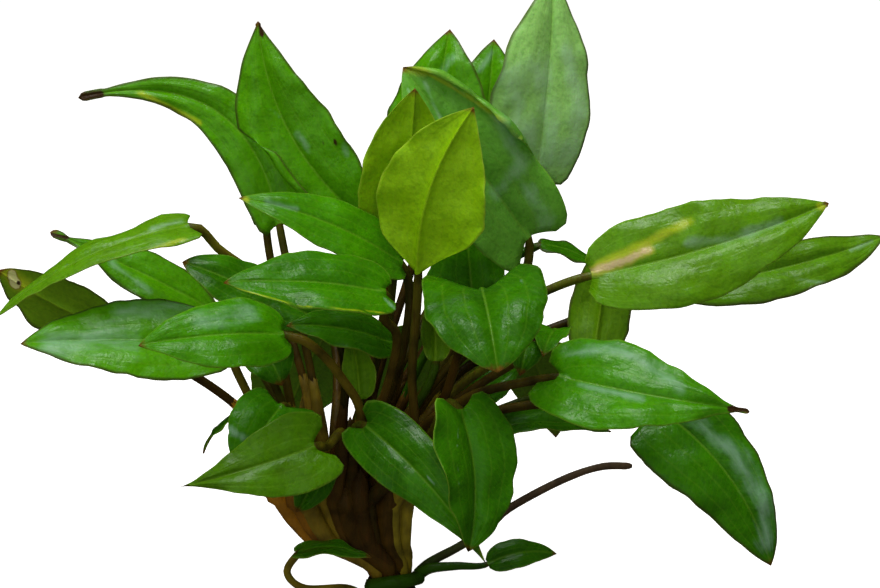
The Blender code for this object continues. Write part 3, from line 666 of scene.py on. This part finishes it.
def grow_leaf(leaf, line, radii, seed, materials):
    """The leaf as one closed skin: stalk, midrib, blade and margins."""
    skin = Skin()
    tone, stalk_tone = (srgb(TONES[name])[:3] for name in (leaf.tone, leaf.stalk_tone[0]))
    rows = BLADE_ROWS if leaf.fine else BLADE_ROWS * 2 // 3
    u = np.linspace(0, 1, rows, endpoint=False)
    s = FIRST_ROW + (1 - FIRST_ROW) * (0.45 * u + 0.55 * u * (2 - u)) * LAST_ROW
    length = np.linalg.norm(np.diff(midrib(leaf, np.linspace(0, 1, 25))[0], axis=0), axis=1).sum()
    half = half_width(leaf, s, tip_narrowing(leaf, s))
    if leaf.name in BLUNT_TIPS:
        reach, finger = BLUNT_TIPS[leaf.name]
        left = (1 - s) * length
        finger = finger * np.sqrt(np.clip(left / finger, 0, 1) * np.clip((reach - left) / 3, 0, 1))
        half = np.maximum(half, finger)
    jagged = np.array([
        [sum(noise.noise(Vector((k * q, 11.1 * seed, side + k))) * 7 / k for k in (7, 18)) for side in (0, 9)]
        for q in s
    ])
    strip = np.interp(s, (0, 1), (leaf.stalk * 0.85, 0.3)) / np.maximum(half, 0.35)
    strip = np.minimum(strip, 0.9)
    x = np.linspace(0, 1, BLADE_COLUMNS + 1)[1:]
    t = np.array([(0, m / 2, m, *(m + (1 - m) * x)) for m in strip])
    t = np.hstack((-t[:, :0:-1], t))
    columns = t.shape[1]
    middle = columns // 2
    lane = np.abs(t)
    uneven = np.where(t < 0, jagged[:, :1], jagged[:, 1:]) * lane
    surface, upper = blade_surface(leaf, s, t * (1 + OUTLINE_UNEVENNESS * uneven), half)
    settle = np.clip(s / 0.2, 0, 1)[:, None] * np.clip((1 - s) / 0.2, 0, 1)[:, None]
    quilt = QUILT_HEIGHT * leaf.width / 24 * (0.5 - 0.5 * np.cos(2 * math.pi * lane / VEIN_SPACING))
    puff = PUFF_HEIGHT * leaf.width / 24 * np.sin(math.pi * lane**0.75)
    bumps = pucker(surface, PUCKER_SIZE, seed) + 0.45 * pucker(surface, PUCKER_SIZE / 2.4, seed + 5)
    frill = FRILL_HEIGHT * leaf.width / 26 * lane**4 * pucker(surface, PUCKER_SIZE / 2.6, seed + 9)
    rise = settle * (quilt + puff + frill + PUCKER_HEIGHT * bumps * np.clip(lane * 2.5, 0.15, 1))
    surface = surface + upper[:, None] * rise[..., None]
    share = np.clip(t / np.maximum(strip, 1e-3)[:, None], -1, 1)
    round_rib = np.sqrt(1 - 0.97 * share**2)
    thin = BLADE_HALF_THICKNESS + (MARGIN_HALF_THICKNESS - BLADE_HALF_THICKNESS) * lane**3
    rib = np.interp(s, (0, 0.06, 1), (leaf.stalk, leaf.stalk * 0.75, 0.3))[:, None]
    hump = np.interp(s, (0, 0.08), (leaf.stalk * 0.9, 0))[:, None]
    over = np.maximum(thin, hump * round_rib)
    under = np.maximum(thin, rib * round_rib)
    blade = np.stack((half[:, None] * t, np.repeat(s[:, None] * length, columns, axis=1), t), axis=-1)
    tip = np.repeat((1 - s)[:, None] * length, columns, axis=1)
    rim = np.stack((half[:, None] * (1 - lane), tip, np.full_like(tip, seed)), axis=-1)
    marks = np.zeros((*t.shape, 6))
    place = seen_from_front(surface)
    for kind, reach, *path in MARKS.get(leaf.name, ()):
        marks[..., kind] = np.maximum(marks[..., kind], near_path(place, path, reach))
    marks[..., 5] = DARK_MARGIN_SHARE * (leaf.name in DARK_MARGINS)
    marks, tints = marks[..., :3], marks[..., 3:]
    sides = (surface + upper[:, None] * off[..., None] for off in (over, -under))
    top, low = ([skin.add(*row, tone) for row in zip(side, blade, rim, marks, tints)] for side in sides)
    point = skin.add(
        midrib(leaf, (1.0,))[0], (0, length, 0), (0, 0, seed), marks[-1, middle], tints[-1, middle], tone
    )[0]
    for a, b, c, d in zip(top, top[1:], low, low[1:]):
        for k in range(columns - 1):
            skin.face((a[k], a[k + 1], b[k + 1], b[k]), UPPER)
            skin.face((c[k + 1], c[k], d[k], d[k + 1]), UNDER)
        skin.face((a[0], b[0], d[0], c[0]), UNDER)
        skin.face((b[-1], a[-1], c[-1], d[-1]), UNDER)
    for k in range(columns - 1):
        skin.face((top[-1][k], top[-1][k + 1], point), UPPER)
        skin.face((low[-1][k + 1], low[-1][k], point), UNDER)
        if not middle - 2 <= k < middle + 2:
            skin.face((top[0][k], low[0][k], low[0][k + 1], top[0][k + 1]), UNDER)
    skin.face((top[-1][0], point, low[-1][0]), UNDER)
    skin.face((top[-1][-1], low[-1][-1], point), UNDER)
    mouth = top[0][middle - 2 : middle + 3][::-1] + low[0][middle - 2 : middle + 3]
    upper_end = midrib(leaf, (0.0,))[2][0]
    rings = tube_rings(line, radii, upper_end, STALK_SIDES_DEG)[:-1]
    left = np.linalg.norm(np.diff(line, axis=0), axis=1)[::-1].cumsum()[::-1]
    loops = [
        skin.add(ring, (seed, run, 0), (run, run, seed), (leaf.stalk_tone[1], 0, 0), tone=stalk_tone)
        for ring, run in zip(rings, left)
    ]
    ends, last = (np.array(skin.points)[numbers] for numbers in (mouth, loops[-1]))
    turned = min(
        (np.roll(order, k) for order in (np.arange(10), np.arange(10)[::-1]) for k in range(10)),
        key=lambda order: np.linalg.norm(ends[order] - last, axis=1).sum(),
    )
    loops.append([mouth[i] for i in turned])
    skin.tube(loops, STALK, closed=False)
    piece = skin.build(leaf.name + "_leaf", materials)
    shape = bmesh.new()
    shape.from_mesh(piece.data)
    bmesh.ops.recalc_face_normals(shape, faces=shape.faces)
    shape.to_mesh(piece.data)
    shape.free()
    return piece


def blade_material(name, codes, tone_share, smooth, rough, relief_mm, **inputs):
    """A leaf's skin: its own green with a share of the first colour, then veins, painted sheen, margin and
    marks.
    """
    material, node, shader = new_surface(name, Subsurface_Scale=MM, **inputs)
    place = node("TexCoord")["Object"]
    across, along, turn, edge, end, seed, stained, dried, sheen_marks, browning_and_shade, yellowed, dark_rim = (
        part
        for key in ("blade", "rim", "marks", "tints")
        for part in node("SeparateXYZ", {0: node("Attribute", attribute_name=key)["Vector"]})
    )
    tone = node("Attribute", attribute_name="tone")["Color"]
    # Noise of five sizes: patches 11 mm wide, ripples, mottling, wear and grain.
    patches, ripples, mottling, wear, grain = (
        node("TexNoise", {"Vector": place, "Scale": 1 / (size * MM), "Detail": detail})["Fac"]
        for size, detail in ((11, 4.0), (5, 3.0), (3, 4.0), (2.2, 5.0), (1.1, 4.0))
    )
    # How far a place is along the side veins, which slant off the midrib, and a noise drawn out lengthwise.
    off = node("Math", {0: across}, operation="ABSOLUTE")[0]
    slope = node("Math", {0: off, 1: -0.85, 2: along}, operation="MULTIPLY_ADD")[0]
    bent = node("Math", {0: ripples, 1: 2.6, 2: slope}, operation="MULTIPLY_ADD")[0]
    drawn = node("CombineXYZ", {0: along, 1: turn, 2: seed})[0]
    drawn = node("VectorMath", {0: drawn, 1: (0.12, 5.0, 3.7)}, operation="MULTIPLY")[0]
    streaks = node("TexNoise", {"Vector": drawn, "Scale": 1.0, "Detail": 4.0})["Fac"]
    # Two curved veins run beside the midrib on each side, and fine ones 1.6 mm apart between them.
    lane = node("Math", {0: turn}, operation="ABSOLUTE")[0]
    from_vein = node("Math", {0: lane, 1: VEIN_SPACING / 2}, operation="PINGPONG")[0]
    from_side_vein = node("Math", {0: bent, 1: 0.8}, operation="PINGPONG")[0]
    # Noise makes the margin, the tip and each mark ragged.
    edge, end, yellowed, stained, dried, browning_and_shade, sheen_marks = (
        node("Math", {0: value, 1: share, 2: part}, operation="MULTIPLY_ADD")[0]
        for value, share, part in (
            (grain, 0.5, edge), (grain, 2.4, end), (mottling, 0.5, yellowed), (wear, 0.6, stained),
            (wear, 0.6, dried), (wear, 0.6, browning_and_shade), (streaks, 0.9, sheen_marks),
        )
    )
    # Painted sheen: where the ripples and the sheen marks run high, the green is paled to grey-green.
    sheen_amount = node("Math", {0: ripples, 1: sheen_marks})[0]
    # Colours over the leaf's own green. The share of each runs smoothly from 0 to the last number between two
    # values of what it follows.
    base, light, dark, vein, rim, tip = (srgb(code) for code in codes)
    colour = node("Mix", {"Factor": tone_share, "A": tone, "B": base}, data_type="RGBA")[2]
    # The painted sheen's colour: the leaf's tone paled to grey-green.
    sheen_colour = node("Mix", {"Factor": 0.42, "A": tone, "B": srgb("b8e0cc")}, data_type="RGBA")[2]
    shares = []
    for value, low, high, most, tint, *blend in (
        (patches, 0.36, 0.66, 0.5, light, "SCREEN"),
        (ripples, 0.4, 0.66, 0.25, light, "SCREEN"),
        (grain, 0.4, 0.75, 0.3, dark, "MULTIPLY"),
        (from_vein, 0.035, 0, 0.1, vein),
        (from_side_vein, 0.16, 0, 0.08, vein),
        (off, 0.5, 0.2, 0.14, vein),
        (yellowed, 0.3, 1.2, 0.7, srgb("b6c81c")),
        # painted sheen
        (sheen_amount, 1.38, 2.25, 0.85, sheen_colour),
        (edge, 0.75, 0.35, 0.25, rim),
        (edge, 1.2, 0.5, dark_rim, srgb("3a2a1c")),
        (end, 3.4, 1.6, 0.9, tip),
        (stained, 0.38, 0.9, 0.75, srgb("b4b440")),
        (stained, 0.75, 1.15, 0.9, srgb("d2bd8c")),
        (dried, 0.5, 0.72, 1, srgb("948c20")),
        (dried, 0.68, 0.86, 1, srgb("dde098")),
        # Dark brown: real browning of tips and spots, and painted shadow where a mark puts it in a gap.
        (browning_and_shade, 0.5, 0.95, 1, srgb("3a2810")),
    ):
        ramp = {0: value, 1: low, 2: high, 4: most}
        shares.append(node("MapRange", ramp, interpolation_type="SMOOTHSTEP")[0])
        pair = {"Factor": shares[-1], "A": colour, "B": tint}
        colour = node("Mix", pair, data_type="RGBA", blend_type=(*blend, "MIX")[0])[2]
    rough = node("MapRange", {0: mottling, 1: 0.3, 2: 0.7, 3: smooth, 4: rough})[0]
    rough = node("Math", {0: shares[7], 1: 0.12, 2: rough}, operation="MULTIPLY_ADD")[0]
    # The real skin cells are far too fine to show, so the surface grain is drawn 0.7 mm wide.
    relief = node("TexVoronoi", {"Vector": place, "Scale": 1 / (0.7 * MM)})[0]
    for value, height in (
        (ripples, 17), (mottling, 4), (streaks, 7), (shares[4], -2), (shares[3], -5), (shares[5], -6)
    ):
        relief = node("Math", {0: value, 1: height, 2: relief}, operation="MULTIPLY_ADD")[0]
    bump = node("Bump", {"Height": relief, "Distance": relief_mm * MM})[0]
    plug(shader, {"Base Color": colour, "Roughness": rough, "Normal": bump})
    return material


# Waxy upper skin: a wet-looking green with small sharp glints, and a painted grey-green sheen where the marks
# put it.
upper_skin = blade_material(
    "waxy_upper_skin", ("50a000", "2c6400", "5f8f50", "88b830", "8cb43a", "6a3a12"), 0.12, 0.25, 0.4, 0.03,
    IOR=1.45, Subsurface_Weight=0.1, Subsurface_Radius=(0.3, 0.9, 0.1),
)
# Matt underside: paler and yellower, with raised veins.
under_skin = blade_material(
    "matt_underside", ("8cbc0a", "344a00", "6f9a50", "9cc020", "b4bc50", "7a4216"), 0.35, 0.42, 0.58, -0.03,
    IOR=1.42, Subsurface_Weight=0.1, Subsurface_Radius=(0.4, 0.9, 0.1),
)


def stalk_material(name, codes, smooth, rough, relief_mm, streak_mm, **inputs):
    """A stalk's streaked skin: the first colour at the blade and the second below, then brown and dark."""
    green, olive, brown, dark = (srgb(code) for code in codes)
    material, node, shader = new_surface(name, Subsurface_Scale=MM, **inputs)
    place = node("TexCoord")["Object"]
    seed, run, _ = node("SeparateXYZ", {0: node("Attribute", attribute_name="blade")["Vector"]})
    wide, tall = 1 / (streak_mm * MM), 1 / (12 * streak_mm * MM)
    drawn = node("VectorMath", {0: place, 1: (wide, wide, tall)}, operation="MULTIPLY")[0]
    streaks = node("TexNoise", {"Vector": drawn, "Scale": 1.0, "Detail": 4.0})["Fac"]
    blotches = node("TexNoise", {"Vector": place, "Scale": 1 / (6 * MM), "Detail": 3.0})["Fac"]
    # Every stalk has its own share of brown and of dark.
    own = node("TexWhiteNoise", {"W": seed}, noise_dimensions="1D")["Color"]
    warm, deep, _ = node("SeparateColor", {0: own})
    fresh = node("SeparateXYZ", {0: node("Attribute", attribute_name="marks")["Vector"]})[0]
    tone = node("Attribute", attribute_name="tone")["Color"]
    colour = green
    for value, first, last, most, tint in (
        (run, 2, 40, 1, olive), (warm, 0.3, 0.8, 0.85, brown), (deep, 0.45, 0.95, 0.8, dark),
        (streaks, 0.45, 0.68, 0.55, brown), (fresh, 0, 1, 0.9, tone), (blotches, 0.42, 0.72, 0.7, dark),
    ):
        share = node("MapRange", {0: value, 1: first, 2: last, 4: most})[0]
        colour = node("Mix", {"Factor": share, "A": colour, "B": tint}, data_type="RGBA")[2]
    rough = node("MapRange", {0: blotches, 1: 0.3, 2: 0.7, 3: smooth, 4: rough})[0]
    bump = node("Bump", {"Height": streaks, "Distance": relief_mm * MM})[0]
    plug(shader, {"Base Color": colour, "Roughness": rough, "Normal": bump})
    return material


# Fleshy stalk skin: olive at the blade and brown below, in fine lengthwise streaks.
stalk_skin = stalk_material(
    "streaked_stalk_skin", ("5c6a12", "584e12", "523610", "1a1204"), 0.3, 0.46, 0.2, 0.6,
    IOR=1.42, Subsurface_Weight=0.08, Subsurface_Radius=(0.8, 0.5, 0.2),
)

# Where the low right leaf's stalk comes off the front of the rootstock, before its foot.
LOW_FOOT = np.array(((-5.0, -8.2, 11.0), (-1.0, -10.6, 12.4), (4.6, -9.8, 13.2), (7.6, -6.0, 12.6)))

feet = stalk_feet(LEAVES)
lines = np.array([stalk_curve(leaf, foot) for leaf, foot in zip(LEAVES, feet)])
# Each stalk thins from a thick foot within its first third.
swell = 1 + (FOOT_SPREAD - 1) * np.clip(1 - np.linspace(0, 1, STALK_POINTS) * 3, 0, 1)
radii = np.array([leaf.stalk * swell for leaf in LEAVES])
lines = crowd(LEAVES, lines, radii)
for number, leaf in enumerate(LEAVES):
    line, thick = lines[number], radii[number]
    if leaf.name == "low_right":
        start = bezier(LOW_FOOT, np.linspace(0, 1, 10))[0]
        line = np.concatenate((start, line))
        thick = np.concatenate((np.linspace(2.2, 1.6, 10), np.linspace(1.6, leaf.stalk, STALK_POINTS)))
    piece = grow_leaf(leaf, line, thick, number, (upper_skin, under_skin, stalk_skin))
    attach(piece, "root")
    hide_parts("leaf_" + leaf.name)

# The bare stalk
# The stalk of a leaf that has come off. It is round, brown and fleshy, and its blunt end has dried.

BARE_STALK = (
    (-2.5, -67, 0), (5, -63, 0), (12.5, -58, 0), (17, -53.75, 0), (30, -46.75, 2), (40, -43.25, 3),
    (48, -43, 4),
)
BARE_STALK_FOOT = np.array((7.2, 0.5, 12.0))
BARE_STALK_SIDES = 14
BARE_STALK_RINGS = 90

stops = [seen(*place) for place in BARE_STALK]
line = through((BARE_STALK_FOOT, *stops), unit(stops[-1] - stops[-2]))
line = spread(line, np.arange(STALK_POINTS), BARE_STALK_RINGS)
knobs = pucker(line, 5.0, 3)
radii = np.linspace(1.2, 0.9, len(line)) * (1 + 0.08 * knobs)
radii[-4:] *= (1.04, 1.02, 0.9, 0.55)
turn = np.arange(BARE_STALK_SIDES) * 360 / BARE_STALK_SIDES
rings = tube_rings(line, radii, np.array((0, 0, 1)), turn)
skin = Skin()
greens = np.clip(1.1 - np.linspace(0, 2.4, len(rings)), 0, 0.9)
skin.tube([
    skin.add(ring, (60, 30, 0), (30, 30, 0), (green, 0, 0), tone=srgb(TONES["dark"])[:3])
    for ring, green in zip(rings, greens)
], 0)
# Browned stalk skin: darker and duller than a living stalk's.
browned_skin = stalk_material(
    "browned_stalk_skin", ("5c5030", "5e4c38", "6a503c", "32241a"), 0.45, 0.62, 0.3, 0.7, IOR=1.42,
)
piece = skin.build("cut_leaf_stalk", (browned_skin,))
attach(piece, "root")
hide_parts("bare_stalk")

# The rootstock
# A short upright stem, wrapped in the broad bases of the leaf stalks, which are orange-brown to olive and
# overlap like scales. Below them it shows the rings that older leaves have left.

CORE_SIDES = 72
CORE_RINGS = 60
SHEATH_SIDES = 14
SHEATH_RADIUS = 2.0
SHEATH_COLLAR = 24.0
COLLAR_RINGS = 10
SPENT_SHEATHS = 16
# The bases' tones, from the rootstock's left to its right, near-black in the middle.
BASE_TONES = ("cc8a10", "b0760c", "a08a20", "402c02", "241602", "4c3c04", "a89c1c")


def crown_at(height):
    """Centre and half-widths of the rootstock at a height."""
    levels = np.array(CROWN_LEVELS)
    return [np.interp(height, levels[:, 0], levels[:, k]) for k in (1, 2, 3)]


skin = Skin()
angles = np.linspace(0, 2 * math.pi, CORE_SIDES, endpoint=False)
loops = []
for height in np.linspace(0, 36.5, CORE_RINGS):
    centre, half_x, half_y = crown_at(height)
    inner = 1 - 0.36 * np.clip((height - 13.5) / 5, 0, 1)
    mound = math.sqrt(max(0.0, 1 - max(0.0, (height - 31.5) / 5) ** 2)) + 0.002
    scar = 1 + 0.035 * max(0.0, math.cos(2 * math.pi * height / 2.6)) ** 6 * (height < 18)
    girth = inner * mound * scar * min(1.0, 0.93 + height * 0.05)
    ring = np.column_stack((
        centre + half_x * girth * np.cos(angles), half_y * girth * np.sin(angles), np.full(CORE_SIDES, height)
    ))
    away = ring - (centre, 0, height)
    ring = ring + away * (0.05 * pucker(ring, 4.0, 11) + 0.02 * pucker(ring, 1.5, 12))[:, None]
    ring[:, 2] = height
    loops.append(skin.add(ring, (0, 40 - height, 0), (height, height, 0)))
skin.tube(loops, 0)
top_height, top_centre, top_x, top_y = CROWN_LEVELS[-1]


def add_sheath(line, width, seed, spent):
    """A stalk's base: it runs up the rootstock to the line's foot on its top, and then along the line."""
    share = (line[0, :2] - (top_centre, 0)) / (top_x, top_y) * 0.94
    heights = np.linspace(11.5 + 2.5 * math.sin(7.7 * seed), top_height, 20)
    centre, half_x, half_y = crown_at(heights)
    body = np.column_stack((centre + share[0] * half_x, share[1] * half_y, heights))
    path = np.concatenate((body[:-1], line))
    run = np.linspace(0, 1, len(path))
    rise = np.clip(run / 0.12, 0, 1) ** 0.5
    join = len(body) / len(path)
    top = 0 if spent else 0.55
    thick = width * np.interp(run, (0, 0.5 * join, join, 0.6 + 0.4 * join, 1), (0.7, 0.95, 1, 0.85, top))
    thick = thick * rise + 0.02
    out = np.array((share[0], share[1], 0.0))
    out = out / (np.linalg.norm(out) + 1e-6)
    flat = np.interp(run, (0, join, 1), (0.8, 0.95, 0.4 if spent else 1.0))
    turn = np.arange(SHEATH_SIDES) * 360 / SHEATH_SIDES
    ribbed = thick[:, None] * (1 + 0.04 * np.cos(5 * np.radians(turn) + seed))
    rings = tube_rings(path, ribbed, out, turn, flat)
    tone = srgb(BASE_TONES[int((share[0] + 1) / 2 * len(BASE_TONES))])[:3]
    skin.tube([
        skin.add(ring, (seed * 3.7, left + 6, 0), (left, left, 0), (0.75, 0, 0), tone=tone)
        for ring, left in zip(rings, (1 - run) * 30)
    ], 1)


for number, leaf in enumerate(LEAVES):
    if leaf.foot:
        continue
    walk = np.linalg.norm(np.diff(lines[number], axis=0), axis=1).cumsum()
    collar = lines[number][: 2 + int(np.searchsorted(walk, SHEATH_COLLAR + 3 * math.sin(number)))]
    add_sheath(spread(collar, np.arange(len(collar)), COLLAR_RINGS), SHEATH_RADIUS, number, False)
for number in range(SPENT_SHEATHS):
    heading = 2 * math.pi * (number + 0.3 * math.sin(9 * number)) / SPENT_SHEATHS
    x, y = top_centre + top_x * 0.93 * math.cos(heading), top_y * 0.93 * math.sin(heading)
    tall = 9 + 5 * math.sin(4.1 * number) + 10 * (y > 0)
    slant = np.array((0.12 * math.cos(heading), 0.12 * math.sin(heading), 1))
    line = (x, y, top_height) + slant * np.linspace(0, tall, COLLAR_RINGS)[:, None]
    add_sheath(line, SHEATH_RADIUS * (1.25 + 0.4 * (y > 0)), 50 + number, True)
# Corky rootstock: dark brown, darkened to near-black as painted shade where it shows between the stalk bases.
corky_stem = stalk_material(
    "corky_stem", ("241808", "241406", "3a2410", "0c0601"), 0.6, 0.8, 0.5, 1.2, IOR=1.4,
)
# Fibrous stalk bases: ochre, orange-brown and olive in coarse lengthwise streaks.
fibrous_base = stalk_material(
    "fibrous_stalk_base", ("6c661c", "7c6a26", "8c541c", "140c03"), 0.45, 0.62, 0.25, 0.7,
    IOR=1.42, Subsurface_Weight=0.06, Subsurface_Radius=(0.9, 0.5, 0.2),
)
piece = skin.build("sheathed_rootstock", (corky_stem, fibrous_base))
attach(piece, "root")
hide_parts("rootstock")

# The roots
# Eight cut roots, pale brown and wiry, which hold the plant in sand. They lie flat round the foot.

ROOT_COUNT = 8
ROOT_RADIUS = 0.95
ROOT_REACH = 24
ROOT_SIDES = 12
GOLDEN_ANGLE = math.radians(137.5)

# Wiry root skin: matt, cream to tan, with fine wrinkles along it.
wiry_root = stalk_material(
    "wiry_root", ("c8b68c", "b89a68", "a08050", "6b4a28"), 0.6, 0.8, 0.3, 0.5, IOR=1.4,
)
for number in range(ROOT_COUNT):
    heading = number * GOLDEN_ANGLE
    reach = ROOT_REACH * (0.85 + 0.15 * math.cos(3.1 * number))
    _, crown_x, half_x, half_y = CROWN_LEVELS[1]
    start = 1.0 / math.hypot(math.cos(heading) / half_x, math.sin(heading) / half_y) - 1.2
    distance = np.array((start, start + 4.7, start + 8.5, (start + reach) / 2 + 5.5, reach))
    height = np.array((3.9, 2.6, 0.8, 0.78, 0.7))
    drift = np.array((0, 0, 0.06, 0.16, 0.22)) * (-1) ** number
    stops = np.column_stack(
        (crown_x + distance * np.cos(heading + drift), distance * np.sin(heading + drift), height)
    )
    line = through(stops, unit(stops[-1] - stops[-2]))
    wobble = pucker(line, 6.0, 20 + number) * np.linspace(0, 0.8, STALK_POINTS)
    line[:, 0] -= wobble * math.sin(heading)
    line[:, 1] += wobble * math.cos(heading)
    radii = np.linspace(1.0, 0.72, STALK_POINTS) * ROOT_RADIUS * (1 + 0.1 * pucker(line, 1.8, 30))
    radii[-1] *= 0.8
    line[:, 2] = np.maximum(line[:, 2], radii * 0.86)
    rings = tube_rings(line, radii, np.array((0, 0, 1)), np.arange(ROOT_SIDES) * 360 / ROOT_SIDES)
    rings[..., 2] = np.maximum(rings[..., 2], 0)
    skin = Skin()
    skin.tube([skin.add(ring, (number, 20, 0), (20, 20, 0)) for ring in rings], 0)
    piece = skin.build(f"cut_root_{number + 1}", (wiry_root,))
    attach(piece, "root")
    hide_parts(f"root_{number + 1}")
